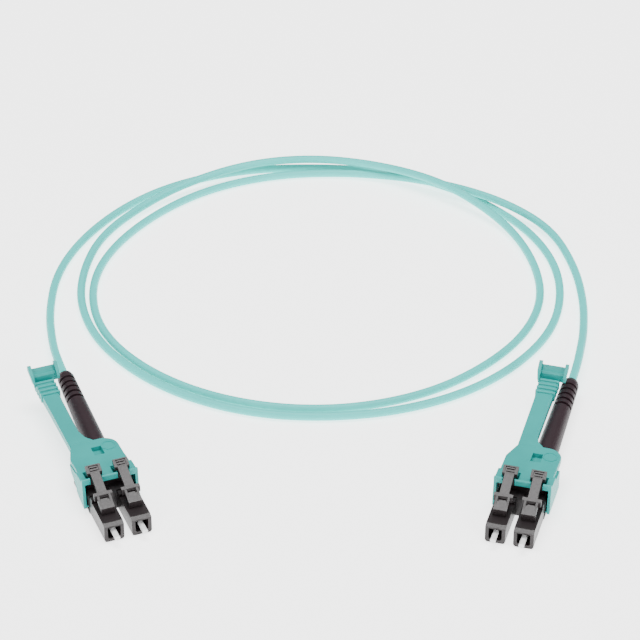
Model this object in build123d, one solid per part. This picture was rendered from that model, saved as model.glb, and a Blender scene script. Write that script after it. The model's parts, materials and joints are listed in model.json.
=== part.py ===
"""Duplex LC fibre optic patch cord with a push-pull uniboot connector on each end.

Millimetres, +Z up. The origin is on the surface that the cord lies on, midway between the two
connectors. +X runs from the left connector to the right one and the plugs point along -Y.
A connector is drawn in its own frame: +X forward out of the plugs, +Y to plug b, z = 0 on the
surface, and x = 0 at the ferrule tips. It is then placed at each end of the cord.
"""
import os
from math import pi, tan
from build123d import *

# ---- driving dimensions: the cord ----
CORD_RADIUS = 1.0

# The cord's route between the boots, by hand: the left lead, then two and a half loose turns.
# The lead passes under the second turn, which rides over the other two strands along the back,
# and the last half turn rides over the first one on the right.
CORD_ROUTE = [
    (-59.5, 45, 1.9), (-61.5, 59.5, 1), (-61, 76, 1), (-56, 91.5, 1), (-46.5, 106.5, 1),
    (-34, 117.5, 1), (-17, 124.5, 1), (0.5, 126, 1), (18.5, 124.5, 1), (34, 118.5, 1),
    (46.5, 108, 1), (56, 96, 1), (61.5, 82, 1), (62.5, 67, 1), (59, 51.5, 1),
    (50, 37.5, 1), (37.5, 26.5, 1), (22, 19.5, 1), (5, 17, 1), (-11.5, 18.5, 1),
    (-26.5, 24.5, 1), (-39.5, 34.5, 1), (-49.5, 48, 1), (-54.5, 63.5, 1), (-54.5, 78.5, 1),
    (-51, 93.5, 1), (-41.5, 106.5, 1.6), (-30, 116, 2.8), (-14.5, 124, 3.5), (2, 126.5, 3.6),
    (18.5, 122.5, 4), (33, 114, 4.8), (43.5, 105.5, 3.4), (52.5, 94.5, 1.3), (57, 79.5, 1),
    (57.5, 64.5, 1), (52.5, 50, 1), (43, 37.5, 1), (30, 27, 1), (14, 21, 1), (-2.5, 20, 1),
    (-19, 24, 1), (-33.5, 32.5, 1), (-44.5, 44.5, 1), (-50.5, 57.5, 1), (-52, 73, 1),
    (-48, 88, 1), (-38.5, 103, 1), (-25.5, 115, 1), (-9, 122, 1), (8.5, 123.5, 1),
    (25, 120, 1.8), (39, 112.5, 3.4), (51.5, 104.5, 3.4), (62, 95, 1.6), (66.5, 79, 1),
    (67.5, 64, 1), (66.5, 51, 1.3), (65, 42, 2.5),
]

# ---- driving dimensions: where each connector stands: x, y of its ferrule tips, heading, boot lean
PLACES = {
    "left": (-36.8, -26.9, -68.4, 3.0),
    "right": (43.7, -29.8, -106.1, -0.5),
}

# ---- driving dimensions: the LC plugs ----
PLUG_PITCH = 6.25
PLUG_SIZE = 4.5
PLUG_FRONT = -2.3
PLUG_REAR = -14.4
PLUG_TAIL = 3.9           # the plug's narrower end, held in the rear housing
PLUG_AXIS = PLUG_SIZE / 2
FERRULE_RADIUS = 0.625
FERRULE_LENGTH = 8.4
RECESS = 2.9              # square opening in the plug's face, round the ferrule
RECESS_DEPTH = 3.2
CHAMBER_RADIUS = 1.65     # bore that holds the flange and its spring
CHAMBER_FRONT = -6.4
COLLAR_RADIUS = 1.35
COLLAR_REAR = -7.9
STEM_RADIUS = 0.8
STEM_REAR = -13.6
STOP_FRONT = -12.6
SPRING_WIRE = 0.14
SPRING_RADIUS = 1.14
SPRING_TURNS = 7

# ---- driving dimensions: the latches ----
LEVER_WIDTH = 2.1
SHOULDER_WIDTH = 4.2
HEAD_WIDTH = 3.4
ROOT_WIDTH = 3.1
LATCH_GAP = 0.05

# ---- driving dimensions: rear housing, crimp and boot ----
HOUSING_FRONT = -12.8
HOUSING_REAR = -24.0
HOUSING_HALF_WIDTH = 5.5
HOUSING_SPLIT = 2.5
HOUSING_TOP = 5.0
RAIL_DEPTH = 0.4
RAIL_BOTTOM = 1.15
RAIL_TOP = 2.0
POST_FRONT = -20.4
POST_FLANGE = 1.5
POST_REAR = -28.0
POST_RADIUS = 1.25
RING_RADIUS = 1.5
RING_FRONT = -24.4
RING_REAR = -31.0
BOOT_AXIS = 3.1
BOOT_AXIS_Y = 1.7
BOOT_FRONT = -24.2
BOOT_REAR = -60.2
BOOT_STEP = -30.8
BOOT_SHOULDER = -58.9
BOOT_NECK_RADIUS = 2.1
BOOT_BASE_RADIUS = 2.55
BOOT_TIP_RADIUS = 1.98
BOOT_CLEARANCE = 0.45     # room under the strap's root for the boot's base
GROOVES = 5
GROOVE_START = -48.9
GROOVE_PITCH = 1.95
GROOVE_WIDTH = 0.75
GROOVE_FLOOR_RADIUS = 1.7

# ---- driving dimensions: the push-pull sleeve ----
SLEEVE_HALF_WIDTH = 6.4
SLEEVE_WALL = 0.65
HOOK_REACH = 0.45
SLEEVE_FRONT = -14.1
LIP_REAR = -14.75
LIP_TOP = 8.5
LIP_UNDER = 7.1
UNDERCUT_REAR = -17.9     # rear end of the hollow under the plate's front
EAR_REAR = -18.8
EAR_STEP = 0.45
EDGE_RADIUS = 0.4
REAR_CORNER_RADIUS = 3.4
WINDOW_FRONT = -23.6
WINDOW_REAR = -26.9
WINDOW_DEPTH = 1.3
BADGE_RADIUS = 1.7
BADGE_HEIGHT = 0.1
PLATE_UNDER = 5.5
PLATE_FRONT_TOP = 7.75
PLATE_REAR_TOP = 6.6
PLATE_REAR = -30.0
STRAP_UNDER = 4.9
STRAP_REAR = -54.5
RIBS = 4
RIB_START = -49.4
RIB_PITCH = 1.5
RIB_WIDTH = 0.85
RIB_TOP = 7.25
CHEEK_FRONT = -53.5
GRIP_FRONT = -55.3
GRIP_REAR = -57.2
NOTCH_REAR = -18.2
NOTCH_WIDTH = 3.8
SLOT_WIDTH = 2.7


def block(x0, x1, y0, y1, z0, z1):
    """A box between two opposite corners."""
    low = Vector(min(x0, x1), min(y0, y1), min(z0, z1))
    size = (abs(x1 - x0), abs(y1 - y0), abs(z1 - z0))
    return Location(low) * Box(*size, align=(Align.MIN, Align.MIN, Align.MIN))


def side_profile(points, y0, y1):
    """A solid with the given outline in the x-z plane, from y0 to y1."""
    outline = Plane.XZ * make_face(Polyline([Vector(x, z, 0) for x, z in points], close=True))
    return Location((0, y1, 0)) * extrude(outline, y1 - y0)


def plan_profile(points, z0, z1):
    """A solid with the given outline in the x-y plane, from z0 to z1."""
    outline = make_face(Polyline([Vector(x, y, 0) for x, y in points], close=True))
    return Location((0, 0, z0)) * extrude(outline, z1 - z0)


def rod(x0, x1, radius, y, z):
    """A round bar along x, between x0 and x1."""
    length = abs(x1 - x0)
    return Location(((x0 + x1) / 2, y, z), (0, 90, 0)) * Cylinder(radius, length)


def turned(stations, y, z):
    """A solid of revolution about the line along x at y, z, from (x, radius) stations."""
    points = [(stations[0][0], 0)] + list(stations) + [(stations[-1][0], 0)]
    outline = make_face(Polyline([Vector(x, r, 0) for x, r in points], close=True))
    return Location((0, y, z)) * revolve(outline, Axis.X)


def edges_near(solid, axis, x=None, z=None, span=0.05):
    """Edges parallel to an axis whose middle lies at the given x or z."""
    found = []
    for edge in solid.edges().filter_by(axis):
        middle = edge.center()
        if (x is None or abs(middle.X - x) < span) and (z is None or abs(middle.Z - z) < span):
            found.append(edge)
    return found


# ------------------------------------------------------------------ one plug
def plug_housing(y):
    """Outer body of one plug: face opening, guide for the ferrule and spring chamber."""
    half = PLUG_SIZE / 2
    tail = PLUG_TAIL / 2
    body = block(HOUSING_FRONT, PLUG_FRONT, y - half, y + half, 0, PLUG_SIZE)
    body = fillet(edges_near(body, Axis.X, z=0), 0.7)
    body = chamfer(edges_near(body, Axis.Y, x=PLUG_FRONT, z=PLUG_SIZE), 1.0, 0.45)
    seam = block(-3.45, -3.25, y - 1.6, y + 1.6, PLUG_SIZE - 0.01, PLUG_SIZE + 0.12)
    seat = block(-12.2, -10.8, y - half, y + half, PLUG_SIZE - 0.01, PLUG_SIZE + 0.7)
    body += seam + seat
    body += block(PLUG_REAR, HOUSING_FRONT, y - tail, y + tail, PLUG_AXIS - tail, PLUG_AXIS + tail)
    recess = RECESS / 2
    opening = block(PLUG_FRONT + 1, PLUG_FRONT - RECESS_DEPTH, y - recess, y + recess,
                    PLUG_AXIS - recess, PLUG_AXIS + recess)
    opening = fillet(edges_near(opening, Axis.X, z=PLUG_AXIS - recess), 0.6)
    guide = rod(PLUG_FRONT, CHAMBER_FRONT - 1, FERRULE_RADIUS + 0.15, y, PLUG_AXIS)
    chamber = rod(CHAMBER_FRONT, PLUG_REAR - 1, CHAMBER_RADIUS, y, PLUG_AXIS)
    return body - opening - guide - chamber


def latch(y):
    """Cantilever latch: root, two shoulders that hold in the adapter, lever and T head."""
    half = LEVER_WIDTH / 2
    arm = side_profile([(-7.9, 5.1), (-9.6, 6.55), (-14.8, 8.45), (-15.1, 9.35), (-9.8, 7.45),
                        (-7.9, 6.25)], y - half, y + half)
    root = side_profile([(-6.05, PLUG_SIZE + LATCH_GAP), (-8.0, 5.15), (-8.2, 6.85), (-6.05, 6.1)],
                        y - ROOT_WIDTH / 2, y + ROOT_WIDTH / 2)
    shoulders = side_profile([(-9.0, 6.2), (-9.75, 6.7), (-9.95, 7.75), (-9.2, 7.5)],
                             y - SHOULDER_WIDTH / 2, y + SHOULDER_WIDTH / 2)
    whole = arm + root + shoulders + latch_head(y)
    for side in (-1, 1):
        inner = y + side * half
        outer = y + side * ROOT_WIDTH / 2
        whole += side_profile([(-7.0, 5.0), (-9.4, 6.5), (-9.5, 7.6), (-7.0, 6.4)],
                              min(inner, outer), max(inner, outer))
    return whole - side_profile([(-8.25, 6.3), (-9.0, 6.6), (-9.2, 8.2), (-8.25, 7.6)],
                                y - half + 0.2, y + half - 0.2)


def latch_head(y):
    """Thumb pad across the lever's end, with a framed pocket and two grip bars."""
    half = HEAD_WIDTH / 2
    rise = (10.2 - 9.35) / (16.85 - 15.05)
    pad = side_profile([(-15.05, 8.45), (-16.75, 9.25), (-16.85, 10.2), (-15.05, 9.35)], y - half, y + half)
    pad -= side_profile([(-15.3, 9.25), (-16.6, 9.8), (-16.6, 10.6), (-15.3, 10.0)],
                        y - half + 0.55, y + half - 0.55)
    for x in (-15.55, -16.15):
        z = 9.35 + (-15.05 - x) * rise - 0.3
        pad += side_profile([(x, z), (x - 0.28, z + 0.13), (x - 0.28, z + 0.43), (x, z + 0.3)],
                            y - half + 0.8, y + half - 0.8)
    return pad


def ferrule(y):
    """Ceramic pin that holds the fibre's end, chamfered at its polished tip."""
    pin = rod(0, -FERRULE_LENGTH, FERRULE_RADIUS, y, PLUG_AXIS)
    tip = [edge for edge in pin.edges() if abs(edge.center().X) < 0.01]
    pin = chamfer(tip, 0.12)
    return pin - rod(1, -FERRULE_LENGTH - 1, 0.063, y, PLUG_AXIS)


def ferrule_flange(y):
    """Collar that holds the ferrule and the stem that guides its spring."""
    collar = rod(CHAMBER_FRONT, COLLAR_REAR, COLLAR_RADIUS, y, PLUG_AXIS)
    stem = rod(COLLAR_REAR, STEM_REAR, STEM_RADIUS, y, PLUG_AXIS)
    seat = rod(0, -FERRULE_LENGTH, FERRULE_RADIUS, y, PLUG_AXIS)
    return collar + stem - seat - rod(-8, -20, 0.5, y, PLUG_AXIS)


def ferrule_spring(y):
    """Coil spring between the flange's collar and the spring stop."""
    length = COLLAR_REAR - STOP_FRONT - 2 * SPRING_WIRE
    coil = Helix(length / SPRING_TURNS, length, SPRING_RADIUS)
    section = Plane(coil @ 0, z_dir=coil % 0) * Circle(SPRING_WIRE)
    wire = sweep(section, path=coil, is_frenet=True)
    return Location((STOP_FRONT + SPRING_WIRE, y, PLUG_AXIS), (0, 90, 0)) * wire


def spring_stop(y):
    """Back post: closes the plug behind the spring and is clamped by the rear housing."""
    nose = rod(STOP_FRONT, PLUG_REAR, CHAMBER_RADIUS, y, PLUG_AXIS)
    flange = rod(PLUG_REAR, PLUG_REAR - 1.0, 2.05, y, PLUG_AXIS)
    tail = rod(PLUG_REAR - 1.0, PLUG_REAR - 2.6, 1.3, y, PLUG_AXIS)
    return nose + flange + tail - rod(STOP_FRONT + 1, PLUG_REAR - 4, 0.95, y, PLUG_AXIS)


def fibre(y):
    """Buffered fibre from the crimp post out to the ferrule, laid in a long S."""
    post_y = 0.3 if y > 0 else -0.3
    start = Vector(POST_FRONT - POST_FLANGE, post_y + BOOT_AXIS_Y, BOOT_AXIS)
    route = FilletPolyline(start, start + (2.0, 0, 0), (-17.2, y, PLUG_AXIS),
                           (-FERRULE_LENGTH, y, PLUG_AXIS), radius=1.5)
    section = Plane(route @ 0, z_dir=route % 0) * Circle(0.125)
    return sweep(section, path=route)


# ------------------------------------------------------- rear housing, crimp and boot
def rear_housing():
    """The black body behind the plugs, before it is split into its two shells."""
    half = HOUSING_HALF_WIDTH
    body = block(HOUSING_REAR, HOUSING_FRONT, -half, half, 0, HOUSING_TOP)
    body = fillet(edges_near(body, Axis.X, z=0) + edges_near(body, Axis.X, z=HOUSING_TOP), 0.6)
    for side in (-1, 1):
        y = side * PLUG_PITCH / 2
        pocket = PLUG_TAIL / 2
        body -= block(PLUG_REAR, 0, y - pocket, y + pocket, PLUG_AXIS - pocket, PLUG_AXIS + pocket)
        body -= rod(PLUG_REAR, PLUG_REAR - 1.0, 2.1, y, PLUG_AXIS)
        body -= rod(PLUG_REAR, PLUG_REAR - 3.0, 1.35, y, PLUG_AXIS)
        body -= block(0, HOUSING_REAR - 1, side * (half - RAIL_DEPTH), side * (half + 1),
                      RAIL_BOTTOM, RAIL_TOP)
    body -= block(-17.0, -19.4, -4.0, 4.4, 0.9, 4.3)
    body -= rod(POST_FRONT + 2, POST_FRONT - POST_FLANGE - 0.1, 1.7, BOOT_AXIS_Y, BOOT_AXIS)
    body -= rod(POST_FRONT, HOUSING_REAR - 1, POST_RADIUS + 0.2, BOOT_AXIS_Y, BOOT_AXIS)
    return body


def rear_housing_base():
    """Lower shell of the rear housing."""
    return rear_housing() & block(-40, 0, -9, 9, -1, HOUSING_SPLIT)


def rear_housing_cover():
    """Upper shell, with a boss between the plugs and a step under the sleeve's lip."""
    cover = rear_housing() & block(-40, 0, -9, 9, HOUSING_SPLIT, 9)
    cover += block(HOUSING_FRONT - 1.2, HOUSING_FRONT + 1.2, -0.6, 0.6, 4.3, 5.3)
    return cover + block(-15.2, -17.0, -4.9, 4.9, HOUSING_TOP - 0.3, 6.1)


def crimp_post():
    """Knurled metal post that carries the cable's strength yarn."""
    flange = rod(POST_FRONT, POST_FRONT - POST_FLANGE, 1.6, BOOT_AXIS_Y, BOOT_AXIS)
    barrel = rod(POST_FRONT - POST_FLANGE, POST_REAR, POST_RADIUS, BOOT_AXIS_Y, BOOT_AXIS)
    return flange + barrel - rod(0, POST_REAR - 1, 0.8, BOOT_AXIS_Y, BOOT_AXIS)


def crimp_ring():
    """Ring crimped over the post, stepped down on to the cable's jacket behind it."""
    ring = rod(RING_FRONT, POST_REAR, RING_RADIUS, BOOT_AXIS_Y, BOOT_AXIS)
    ring += rod(POST_REAR, RING_REAR, RING_RADIUS - 0.15, BOOT_AXIS_Y, BOOT_AXIS)
    ring -= rod(0, POST_REAR, POST_RADIUS, BOOT_AXIS_Y, BOOT_AXIS)
    return ring - rod(POST_REAR, RING_REAR - 1, CORD_RADIUS, BOOT_AXIS_Y, BOOT_AXIS)


def leaning(solid, lean):
    """Turn a piece of the cable's exit a few degrees to one side about the post's flange."""
    hinge = Location((POST_FRONT - POST_FLANGE / 2, BOOT_AXIS_Y, BOOT_AXIS))
    return hinge * Location((0, 0, 0), (0, 0, -lean)) * hinge.inverse() * solid


def cable_end():
    """The jacketed cable between the crimp post and the boot's tip."""
    return rod(POST_REAR, BOOT_REAR, CORD_RADIUS, BOOT_AXIS_Y, BOOT_AXIS)


def boot_radius(x):
    """Outer radius of the boot along its taper."""
    share = (x - BOOT_STEP) / (BOOT_SHOULDER - BOOT_STEP)
    return BOOT_BASE_RADIUS + (BOOT_TIP_RADIUS - BOOT_BASE_RADIUS) * share


def boot():
    """Tapered rubber bend relief with ring grooves near its tip, bridged along both sides."""
    neck = [(BOOT_FRONT, BOOT_NECK_RADIUS), (BOOT_STEP + 0.4, BOOT_NECK_RADIUS), (BOOT_STEP, BOOT_BASE_RADIUS)]
    tip = [(BOOT_SHOULDER, BOOT_TIP_RADIUS), (-59.8, 1.76), (BOOT_REAR, 1.4)]
    grooves = []
    for step in range(GROOVES):
        x0 = GROOVE_START - GROOVE_PITCH * step
        x1 = x0 - GROOVE_WIDTH
        grooves += [(x0, boot_radius(x0)), (x0, GROOVE_FLOOR_RADIUS)]
        grooves += [(x1, GROOVE_FLOOR_RADIUS), (x1, boot_radius(x1))]
    plain = turned(neck + tip, BOOT_AXIS_Y, BOOT_AXIS)
    bridge = block(GROOVE_START + 1, BOOT_SHOULDER, BOOT_AXIS_Y - 3, BOOT_AXIS_Y + 3,
                   BOOT_AXIS - 0.4, BOOT_AXIS + 0.4)
    body = turned(neck + grooves + tip, BOOT_AXIS_Y, BOOT_AXIS) + (plain & bridge)
    body -= rod(BOOT_FRONT + 1, RING_REAR - 0.3, RING_RADIUS + 0.06, BOOT_AXIS_Y, BOOT_AXIS)
    return body - rod(RING_REAR, BOOT_REAR - 1, CORD_RADIUS + 0.04, BOOT_AXIS_Y, BOOT_AXIS)


# ------------------------------------------------------------------ the sleeve
def plate_top(x):
    """Height of the sloping top of the sleeve's head."""
    slope = (PLATE_FRONT_TOP - PLATE_REAR_TOP) / (LIP_REAR - PLATE_REAR)
    return PLATE_REAR_TOP + (x - PLATE_REAR) * slope


def plate_wedge(above):
    """Everything between the plate's underside and a height above its sloping top."""
    return side_profile([(0, PLATE_UNDER), (0, plate_top(0) + above), (-40, plate_top(-40) + above),
                         (-40, PLATE_UNDER)], -9, 9)


def sleeve_head():
    """Top plate of the sleeve: ears behind the lip, a rounded rear corner and soft edges."""
    half = SLEEVE_HALF_WIDTH
    plan = plan_profile([(SLEEVE_FRONT, -half), (SLEEVE_FRONT, half), (EAR_REAR, half),
                         (EAR_REAR, half - EAR_STEP), (PLATE_REAR, half - EAR_STEP), (PLATE_REAR, -4.1),
                         (-24.3, -half + EAR_STEP), (EAR_REAR, -half + EAR_STEP), (EAR_REAR, -half)],
                        PLATE_UNDER, LIP_TOP + 1)
    corner = [edge for edge in plan.edges().filter_by(Axis.Z)
              if abs(edge.center().X - PLATE_REAR) < 0.05 and edge.center().Y > 0]
    plan = fillet(corner, REAR_CORNER_RADIUS)
    head = plan & plate_wedge(0)
    rim = [edge for edge in head.edges()
           if edge.center().Z > PLATE_UNDER + 1 and edge.center().X < EAR_REAR - 0.5
           and edge.length > 1 and edge.center().Y > 2]
    return fillet(rim, EDGE_RADIUS)


def sleeve_walls():
    """Side walls with small hooks that run in the rear housing's rails."""
    half = SLEEVE_HALF_WIDTH
    inner = half - SLEEVE_WALL
    left = side_profile([(-13.5, 1.25), (-17.0, 1.7), (-19.6, 2.7), (-23.4, 4.3), (-24.2, PLATE_UNDER + 0.3),
                         (SLEEVE_FRONT, 7.0)], -half, -inner)
    left &= plan_profile([(0, -half), (EAR_REAR, -half), (EAR_REAR, -half + 0.25), (-40, -half + 0.25),
                          (-40, 0), (0, 0)], 0, 9)
    right = side_profile([(-13.5, 1.25), (-23.3, 1.4), (-23.5, PLATE_UNDER + 0.3), (SLEEVE_FRONT, 7.0)],
                         inner, half)
    left += block(-13.7, -17.0, -inner - 0.1, -inner + HOOK_REACH, 1.4, 1.8)
    right += block(-13.7, -23.0, inner - HOOK_REACH, inner + 0.1, 1.5, 1.8)
    return left + right


def sleeve_strap():
    """The long pull strap beside the boot, with rounded grip ribs before the finger flange."""
    strap = plan_profile([(-26.5, -4.45), (-26.5, 1.4), (PLATE_REAR + 0.2, 1.4), (-31.6, -0.2), (-33.6, -0.8),
                          (-46.0, -0.8), (STRAP_REAR, -0.6), (STRAP_REAR, -4.8), (-46.0, -4.6),
                          (PLATE_REAR, -4.45)], STRAP_UNDER, 9)
    top = side_profile([(-20, STRAP_UNDER), (-20, 6.45), (-29.9, 6.4), (-49.0, 6.8), (-60, 6.95),
                        (-60, STRAP_UNDER)], -9, 9)
    strap = (strap & top) - rod(-26, -40, BOOT_BASE_RADIUS + BOOT_CLEARANCE, BOOT_AXIS_Y, BOOT_AXIS)
    inner_edge = [edge for edge in strap.edges()
                  if edge.center().X < -36 and edge.center().Z > 6.3 and edge.center().Y > -1.5
                  and edge.length > 5]
    strap = chamfer(inner_edge, EDGE_RADIUS)
    for step in range(RIBS):
        x = RIB_START - RIB_PITCH * step
        rib = block(x, x - RIB_WIDTH, -4.95, -0.4, STRAP_UNDER + 0.1, RIB_TOP)
        strap += fillet(edges_near(rib, Axis.Y, z=RIB_TOP), 0.3)
    return strap


def sleeve_grip():
    """Finger flange across the strap's end: a lip, a hollow behind it and two swept-back cheeks."""
    flange = side_profile([(GRIP_FRONT, 6.3), (GRIP_FRONT - 0.1, 8.0), (GRIP_FRONT - 0.35, 8.5),
                           (GRIP_FRONT - 0.6, 8.5), (GRIP_FRONT - 0.95, 8.25), (GRIP_FRONT - 1.3, 8.6),
                           (GRIP_REAR + 0.2, 9.35), (GRIP_REAR, 9.3), (GRIP_REAR, 8.0), (-56.4, 6.3)],
                          -5.2, 0.85)
    outer = side_profile([(CHEEK_FRONT, 6.6), (CHEEK_FRONT - 0.1, 7.5), (-54.9, 8.9), (GRIP_REAR + 0.3, 10.25),
                          (GRIP_REAR - 0.3, 10.05), (GRIP_REAR, 8.2), (-56.2, 6.6)], -5.75, -4.95)
    outer &= flared(-5.75, -5.15, -4.9)
    inner = side_profile([(CHEEK_FRONT - 0.6, 7.3), (CHEEK_FRONT - 0.7, 8.0), (-54.9, 8.9),
                          (GRIP_REAR + 0.3, 10.25), (GRIP_REAR - 0.3, 10.05), (GRIP_REAR, 8.2),
                          (-56.2, 7.3)], 0.4, 1.15)
    inner &= flared(1.15, 0.75, 0.4)
    neck = block(-56.0, GRIP_FRONT + 0.3, -4.8, -0.6, STRAP_UNDER, 6.6)
    return flange + outer + inner + neck


def flared(top, bottom, inside):
    """A long bar whose outer side leans from y = bottom at its foot to y = top at its crest."""
    outline = make_face(Polyline([Vector(-60, bottom, 6.2), Vector(-60, top, 9.0), Vector(-60, top, 11),
                                  Vector(-60, inside, 11), Vector(-60, inside, 6.2)], close=True))
    return extrude(outline, 10, dir=(1, 0, 0))


def push_pull_sleeve():
    """The aqua sleeve: pulled back by its strap, it presses both latches down and frees the plugs."""
    half = SLEEVE_HALF_WIDTH
    lip = block(SLEEVE_FRONT, LIP_REAR, -half, half, PLATE_UNDER, LIP_TOP)
    lip = fillet(edges_near(lip, Axis.Y, z=LIP_TOP), 0.3)
    sleeve = sleeve_head() + sleeve_walls() + lip + sleeve_strap() + sleeve_grip()
    inner = half - SLEEVE_WALL
    sleeve -= block(SLEEVE_FRONT + 1, UNDERCUT_REAR, -inner, inner, PLATE_UNDER - 1, LIP_UNDER)
    for side in (-1, 1):
        y = side * PLUG_PITCH / 2
        sleeve -= block(LIP_REAR, NOTCH_REAR, y - NOTCH_WIDTH / 2, y + NOTCH_WIDTH / 2, PLATE_UNDER - 1, 12)
        sleeve -= block(SLEEVE_FRONT + 1, LIP_REAR - 1, y - SLOT_WIDTH / 2, y + SLOT_WIDTH / 2,
                        PLATE_UNDER - 1, 12)
    sleeve -= block(WINDOW_FRONT, WINDOW_REAR, -0.4, 1.9, plate_top(WINDOW_FRONT) - WINDOW_DEPTH, 12)
    ring = Cylinder(BADGE_RADIUS, 4) - Cylinder(BADGE_RADIUS - 0.25, 5)
    return sleeve + (Location((-26.4, 3.55, PLATE_UNDER + 2.2)) * ring & plate_wedge(BADGE_HEIGHT))


# ------------------------------------------------------------------ both connectors
def place_connector(side):
    """Where a connector stands: its frame turned to its heading at its ferrule tips."""
    x, y, heading, _ = PLACES[side]
    return Location((x, y, 0), (0, 0, heading))


def connector(side):
    """Every piece of one connector, by node name, where it stands."""
    lean = PLACES[side][3]
    parts = {
        "push_pull_sleeve": push_pull_sleeve(),
        "rear_housing_base": rear_housing_base(),
        "rear_housing_cover": rear_housing_cover(),
        "crimp_post": leaning(crimp_post(), lean),
        "crimp_ring": leaning(crimp_ring(), lean),
        "boot": leaning(boot(), lean),
        "cable_end": leaning(cable_end(), lean),
    }
    for letter, y in (("a", -PLUG_PITCH / 2), ("b", PLUG_PITCH / 2)):
        parts["plug_housing_" + letter] = plug_housing(y)
        parts["latch_" + letter] = latch(y)
        parts["ferrule_" + letter] = ferrule(y)
        parts["ferrule_flange_" + letter] = ferrule_flange(y)
        parts["ferrule_spring_" + letter] = ferrule_spring(y)
        parts["spring_stop_" + letter] = spring_stop(y)
        parts["fibre_" + letter] = fibre(y)
    place = place_connector(side)
    return {side + "_" + name: place * solid for name, solid in parts.items()}


# ------------------------------------------------------------------ the cord
def boot_tip(side, beyond=0.0):
    """The point on the boot's axis at its tip, or some way beyond it along the cable."""
    tip = leaning(Location((BOOT_REAR - beyond, BOOT_AXIS_Y, BOOT_AXIS)), PLACES[side][3])
    return (place_connector(side) * tip).position


def cord_points():
    """The route's points from the left boot's tip to the right boot's."""
    start = [boot_tip("left"), boot_tip("left", 6.0)]
    end = [boot_tip("right", 6.0), boot_tip("right")]
    return start + [Vector(*point) for point in CORD_ROUTE] + end


def corner_radii(points):
    """0.45 of the shorter run beside each corner, over the tangent of half its turn."""
    radii = []
    for before, corner, after in zip(points, points[1:], points[2:]):
        run_in = corner - before
        run_out = after - corner
        half_turn = run_in.get_angle(run_out) / 2 * pi / 180
        radii.append(0.45 * min(run_in.length, run_out.length) / tan(half_turn))
    return radii


def cord():
    """The jacketed cable between the two boots: one tube of straight runs joined by tangent arcs."""
    points = cord_points()
    radii = corner_radii(points)
    path = FilletPolyline(*points, radius=radii)
    section = Plane(path @ 0, z_dir=path % 0) * Circle(CORD_RADIUS)
    tube = sweep(section, path=path)
    print("cord length", round(path.length, 1), "mm")
    print("corner radii", [round(radius, 1) for radius in radii])
    print("tube volume", round(tube.volume, 1))
    print("section x length", round(pi * CORD_RADIUS ** 2 * path.length, 1))
    return tube


# ------------------------------------------------------------------ run
def main():
    """Write every piece to its own STEP file."""
    os.makedirs("parts", exist_ok=True)
    nodes = {"cord": cord()}
    for side in PLACES:
        nodes.update(connector(side))
    for name, solid in nodes.items():
        export_step(solid, "parts/" + name + ".step")


main()
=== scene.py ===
"""Looks for the fibre optic patch cord: cord, materials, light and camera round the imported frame."""
import json
import math
import bpy
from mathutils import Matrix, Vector


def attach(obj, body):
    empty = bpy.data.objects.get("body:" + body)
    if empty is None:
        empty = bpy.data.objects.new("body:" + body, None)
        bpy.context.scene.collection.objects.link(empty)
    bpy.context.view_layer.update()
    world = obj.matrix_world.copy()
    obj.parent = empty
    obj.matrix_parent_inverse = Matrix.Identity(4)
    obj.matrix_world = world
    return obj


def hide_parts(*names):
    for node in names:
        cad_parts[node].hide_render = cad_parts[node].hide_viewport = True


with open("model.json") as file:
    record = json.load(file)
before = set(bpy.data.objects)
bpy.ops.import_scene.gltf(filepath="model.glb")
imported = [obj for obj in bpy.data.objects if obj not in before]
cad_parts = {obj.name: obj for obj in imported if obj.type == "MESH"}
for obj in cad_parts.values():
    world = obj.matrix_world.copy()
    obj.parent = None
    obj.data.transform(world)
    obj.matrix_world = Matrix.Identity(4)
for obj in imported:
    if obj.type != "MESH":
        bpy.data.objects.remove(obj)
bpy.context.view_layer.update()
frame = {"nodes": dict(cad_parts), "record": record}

# ---- the view: where the camera stands, how far it looks down and its lens ----
CAMERA_AT = (0.0037, -0.4939, 0.3816)
CAMERA_PITCH = math.radians(90 - 34.68)
CAMERA_LENS = 157.0

# ---- the floor and the lights, in metres and watts ----
FLOOR_HALF_SIDE = 3.0
FLOOR_DROP = 0.00002
FLOOR_WHITE = 0.95
FLOOR_GLOW = 2.2
WORLD_STRENGTH = 0.5
WHITE = (1, 1, 1, 1)
LIGHTS = [
    ("overhead", (0.0, 0.15, 0.9), (0.8, 0.4), 12.0),
    ("front_left", (-0.5, -1.0, 0.55), (0.3, 0.3), 5.0),
    ("front_right", (0.6, -0.9, 0.6), (0.3, 0.3), 5.0),
]

# ---- base colours of the metals ----
NICKEL = (0.62, 0.60, 0.55)
STEEL = (0.52, 0.52, 0.54)

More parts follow.
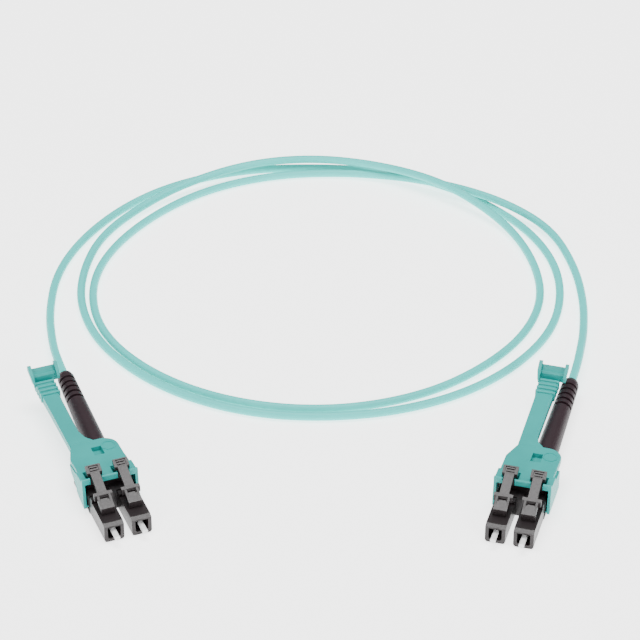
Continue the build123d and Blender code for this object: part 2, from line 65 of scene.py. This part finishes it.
# ---- the cord: its route repeats the CAD tube's points, in metres ----
CORD_DIAMETER = 0.002
CORD_ROUTE = [
    (-0.05546, 0.0304, 0.0031), (-0.05737, 0.03609, 0.0031),
    (-0.0595, 0.045, 0.0019), (-0.0615, 0.0595, 0.001), (-0.061, 0.076, 0.001), (-0.056, 0.0915, 0.001),
    (-0.0465, 0.1065, 0.001), (-0.034, 0.1175, 0.001), (-0.017, 0.1245, 0.001), (0.0005, 0.126, 0.001),
    (0.0185, 0.1245, 0.001), (0.034, 0.1185, 0.001), (0.0465, 0.108, 0.001), (0.056, 0.096, 0.001),
    (0.0615, 0.082, 0.001), (0.0625, 0.067, 0.001), (0.059, 0.0515, 0.001), (0.05, 0.0375, 0.001),
    (0.0375, 0.0265, 0.001), (0.022, 0.0195, 0.001), (0.005, 0.017, 0.001), (-0.0115, 0.0185, 0.001),
    (-0.0265, 0.0245, 0.001), (-0.0395, 0.0345, 0.001), (-0.0495, 0.048, 0.001), (-0.0545, 0.0635, 0.001),
    (-0.0545, 0.0785, 0.001), (-0.051, 0.0935, 0.001), (-0.0415, 0.1065, 0.0016), (-0.03, 0.116, 0.0028),
    (-0.0145, 0.124, 0.0035), (0.002, 0.1265, 0.0036), (0.0185, 0.1225, 0.004), (0.033, 0.114, 0.0048),
    (0.0435, 0.1055, 0.0034), (0.0525, 0.0945, 0.0013), (0.057, 0.0795, 0.001), (0.0575, 0.0645, 0.001),
    (0.0525, 0.05, 0.001), (0.043, 0.0375, 0.001), (0.03, 0.027, 0.001), (0.014, 0.021, 0.001),
    (-0.0025, 0.02, 0.001), (-0.019, 0.024, 0.001), (-0.0335, 0.0325, 0.001), (-0.0445, 0.0445, 0.001),
    (-0.0505, 0.0575, 0.001), (-0.052, 0.073, 0.001), (-0.048, 0.088, 0.001), (-0.0385, 0.103, 0.001),
    (-0.0255, 0.115, 0.001), (-0.009, 0.122, 0.001), (0.0085, 0.1235, 0.001), (0.025, 0.12, 0.0018),
    (0.039, 0.1125, 0.0034), (0.0515, 0.1045, 0.0034), (0.062, 0.095, 0.0016), (0.0665, 0.079, 0.001),
    (0.0675, 0.064, 0.001), (0.0665, 0.051, 0.0013), (0.065, 0.042, 0.0025),
    (0.06331, 0.03344, 0.0031), (0.0617, 0.02766, 0.0031),
]


# ------------------------------------------------------------------ camera and stage
def make_camera():
    data = bpy.data.cameras.new("camera")
    data.lens = CAMERA_LENS
    data.sensor_width = 36.0
    data.clip_start = 0.01
    data.clip_end = 10.0
    camera = bpy.data.objects.new("camera", data)
    camera.location = CAMERA_AT
    camera.rotation_euler = (CAMERA_PITCH, 0, 0)
    bpy.context.collection.objects.link(camera)
    bpy.context.scene.camera = camera


def make_floor():
    """A pale floor with a faint glow, a hair below the object so that the faces don't coincide."""
    mesh = bpy.data.meshes.new("floor")
    side = FLOOR_HALF_SIDE
    corners = [(-side, -side, 0), (side, -side, 0), (side, side, 0), (-side, side, 0)]
    mesh.from_pydata(corners, [], [(0, 1, 2, 3)])
    floor = bpy.data.objects.new("floor", mesh)
    bpy.context.collection.objects.link(floor)
    floor.location = (0, 0, -FLOOR_DROP)
    material = bpy.data.materials.new("floor_paint")
    material.use_nodes = True
    shader = material.node_tree.nodes["Principled BSDF"]
    shader.inputs["Base Color"].default_value = (FLOOR_WHITE, FLOOR_WHITE, FLOOR_WHITE, 1)
    shader.inputs["Emission Color"].default_value = WHITE
    shader.inputs["Emission Strength"].default_value = FLOOR_GLOW
    shader.inputs["Roughness"].default_value = 0.9
    shader.inputs["Specular IOR Level"].default_value = 0.1
    floor.data.materials.append(material)


def area_light(name, place, size, power):
    """A rectangular light that faces the origin."""
    data = bpy.data.lights.new(name, "AREA")
    data.shape = "RECTANGLE"
    data.size, data.size_y = size
    data.energy = power
    light = bpy.data.objects.new(name, data)
    light.location = place
    light.rotation_euler = (-Vector(place)).to_track_quat("-Z", "Y").to_euler()
    bpy.context.collection.objects.link(light)


def make_light():
    """Even white surroundings, one large light overhead and two small ones in front."""
    world = bpy.data.worlds.new("studio")
    world.use_nodes = True
    background = world.node_tree.nodes["Background"]
    background.inputs["Color"].default_value = WHITE
    background.inputs["Strength"].default_value = WORLD_STRENGTH
    bpy.context.scene.world = world
    for name, place, size, power in LIGHTS:
        area_light(name, place, size, power)


# ------------------------------------------------------------------ materials
class Shade:
    """A procedural material: noise in the object's own coordinates drives its colour and surface."""

    def __init__(self, name, roughness, specular=0.5, metallic=0.0):
        self.material = bpy.data.materials.new(name)
        self.material.use_nodes = True
        self.tree = self.material.node_tree
        self.shader = self.tree.nodes["Principled BSDF"]
        self.shader.inputs["Roughness"].default_value = roughness
        self.shader.inputs["Specular IOR Level"].default_value = specular
        self.shader.inputs["Metallic"].default_value = metallic
        coords = self.tree.nodes.new("ShaderNodeTexCoord")
        self.place = coords.outputs["Object"]
        self.height = None

    def noise(self, scale, detail, stretch=None):
        node = self.tree.nodes.new("ShaderNodeTexNoise")
        node.inputs["Scale"].default_value = scale
        node.inputs["Detail"].default_value = detail
        source = self.place
        if stretch:
            mapping = self.tree.nodes.new("ShaderNodeMapping")
            mapping.inputs["Scale"].default_value = stretch
            self.tree.links.new(self.place, mapping.inputs["Vector"])
            source = mapping.outputs["Vector"]
        self.tree.links.new(source, node.inputs["Vector"])
        return node.outputs["Fac"]

    def ramp(self, factor, stops):
        node = self.tree.nodes.new("ShaderNodeValToRGB")
        ramp = node.color_ramp
        ramp.elements[0].position = stops[0][0]
        ramp.elements[0].color = (*stops[0][1], 1)
        ramp.elements[1].position = stops[-1][0]
        ramp.elements[1].color = (*stops[-1][1], 1)
        for position, colour in stops[1:-1]:
            ramp.elements.new(position).color = (*colour, 1)
        self.tree.links.new(factor, node.inputs["Fac"])
        return node.outputs["Color"]

    def colour(self, factor, stops):
        self.tree.links.new(self.ramp(factor, stops), self.shader.inputs["Base Color"])

    def rough(self, factor, low, high):
        node = self.tree.nodes.new("ShaderNodeMapRange")
        node.inputs["To Min"].default_value = low
        node.inputs["To Max"].default_value = high
        self.tree.links.new(factor, node.inputs["Value"])
        self.tree.links.new(node.outputs["Result"], self.shader.inputs["Roughness"])

    def bump(self, factor, distance):
        node = self.tree.nodes.new("ShaderNodeBump")
        node.inputs["Distance"].default_value = distance
        self.tree.links.new(factor, node.inputs["Height"])
        if self.height:
            self.tree.links.new(self.height, node.inputs["Normal"])
        self.height = node.outputs["Normal"]
        self.tree.links.new(self.height, self.shader.inputs["Normal"])


def mixed(base, factor):
    """A colour made a little darker, with a factor below 1, or lighter, above 1."""
    return tuple(channel * factor for channel in base)


def jacket_material():
    shade = Shade("cord_jacket_aqua", roughness=0.5, specular=0.25)
    aqua = (0.060, 0.600, 0.555)
    cloud = shade.noise(scale=55.0, detail=2.0)
    shade.colour(cloud, [(0.3, mixed(aqua, 0.94)), (0.55, aqua), (0.8, mixed(aqua, 1.05))])
    shade.rough(shade.noise(scale=900.0, detail=4.0), low=0.36, high=0.52)
    shade.bump(shade.noise(scale=2600.0, detail=3.0), distance=0.00002)
    return shade.material


def sleeve_material():
    shade = Shade("sleeve_moulded_aqua", roughness=0.45, specular=0.3)
    aqua = (0.014, 0.330, 0.305)
    cloud = shade.noise(scale=120.0, detail=3.0)
    shade.colour(cloud, [(0.3, mixed(aqua, 0.92)), (0.55, aqua), (0.8, mixed(aqua, 1.07))])
    shade.rough(shade.noise(scale=1500.0, detail=4.0), low=0.32, high=0.5)
    shade.bump(shade.noise(scale=5000.0, detail=2.0), distance=0.000008)
    return shade.material


def black_material():
    shade = Shade("plug_moulded_black", roughness=0.34, specular=0.4)
    black = (0.012, 0.008, 0.009)
    cloud = shade.noise(scale=260.0, detail=4.0)
    shade.colour(cloud, [(0.3, mixed(black, 0.75)), (0.6, black), (0.85, mixed(black, 1.5))])
    shade.rough(shade.noise(scale=1800.0, detail=5.0), low=0.26, high=0.44)
    shade.bump(shade.noise(scale=6000.0, detail=2.0), distance=0.000006)
    return shade.material


def boot_material():
    shade = Shade("boot_rubber_black", roughness=0.55, specular=0.3)
    black = (0.017, 0.006, 0.010)
    cloud = shade.noise(scale=180.0, detail=3.0)
    shade.colour(cloud, [(0.3, mixed(black, 0.8)), (0.6, black), (0.85, mixed(black, 1.3))])
    shade.rough(shade.noise(scale=2500.0, detail=4.0), low=0.42, high=0.62)
    shade.bump(shade.noise(scale=7000.0, detail=3.0), distance=0.00001)
    return shade.material


def ceramic_material():
    shade = Shade("zirconia_white", roughness=0.15, specular=0.7)
    white = (0.86, 0.87, 0.87)
    cloud = shade.noise(scale=400.0, detail=2.0)
    shade.colour(cloud, [(0.3, mixed(white, 0.96)), (0.8, white)])
    shade.rough(shade.noise(scale=3000.0, detail=3.0), low=0.1, high=0.2)
    return shade.material


def metal_material(name, base, low, high):
    shade = Shade(name, roughness=low, metallic=1.0)
    streak = shade.noise(scale=900.0, detail=3.0, stretch=(1, 1, 6))
    shade.colour(streak, [(0.3, mixed(base, 0.85)), (0.7, base)])
    shade.rough(streak, low, high)
    shade.bump(shade.noise(scale=4000.0, detail=3.0), distance=0.000004)
    return shade.material


def fibre_material():
    shade = Shade("fibre_buffer_clear", roughness=0.3)
    pale = (0.72, 0.76, 0.72)
    shade.colour(shade.noise(scale=700.0, detail=2.0), [(0.3, mixed(pale, 0.9)), (0.8, pale)])
    shade.rough(shade.noise(scale=2600.0, detail=2.0), low=0.25, high=0.4)
    return shade.material


# ------------------------------------------------------------------ the cord
def make_cord(material):
    """The cable between the two boots' tips, as one smooth curve along the route."""
    curve = bpy.data.curves.new("cord_line", "CURVE")
    curve.dimensions = "3D"
    curve.bevel_depth = CORD_DIAMETER / 2
    curve.bevel_resolution = 6
    curve.use_fill_caps = True
    curve.resolution_u = 10
    spline = curve.splines.new("NURBS")
    spline.points.add(len(CORD_ROUTE) - 1)
    for point, place in zip(spline.points, CORD_ROUTE):
        point.co = (*place, 1)
    spline.order_u = 3
    spline.use_endpoint_u = True
    curve.materials.append(material)
    cord = bpy.data.objects.new("patch_cord", curve)
    bpy.context.collection.objects.link(cord)
    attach(cord, "root")
    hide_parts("cord")


# ------------------------------------------------------------------ the CAD pieces
def dress_nodes(materials):
    """Give every CAD node the material of its slot in the record."""
    for entry in frame["record"]["subparts"]:
        thing = frame["nodes"][entry["node"]]
        thing.data.materials.clear()
        thing.data.materials.append(materials[entry["material_slot"]])


make_camera()
materials = {
    "cord_jacket": jacket_material(),
    "sleeve_plastic": sleeve_material(),
    "black_plastic": black_material(),
    "boot_rubber": boot_material(),
    "zirconia": ceramic_material(),
    "nickel_metal": metal_material("nickel_plate", NICKEL, low=0.25, high=0.4),
    "spring_steel": metal_material("spring_steel", STEEL, low=0.2, high=0.35),
    "fibre_buffer": fibre_material(),
}
make_cord(materials["cord_jacket"])
dress_nodes(materials)
make_floor()
make_light()
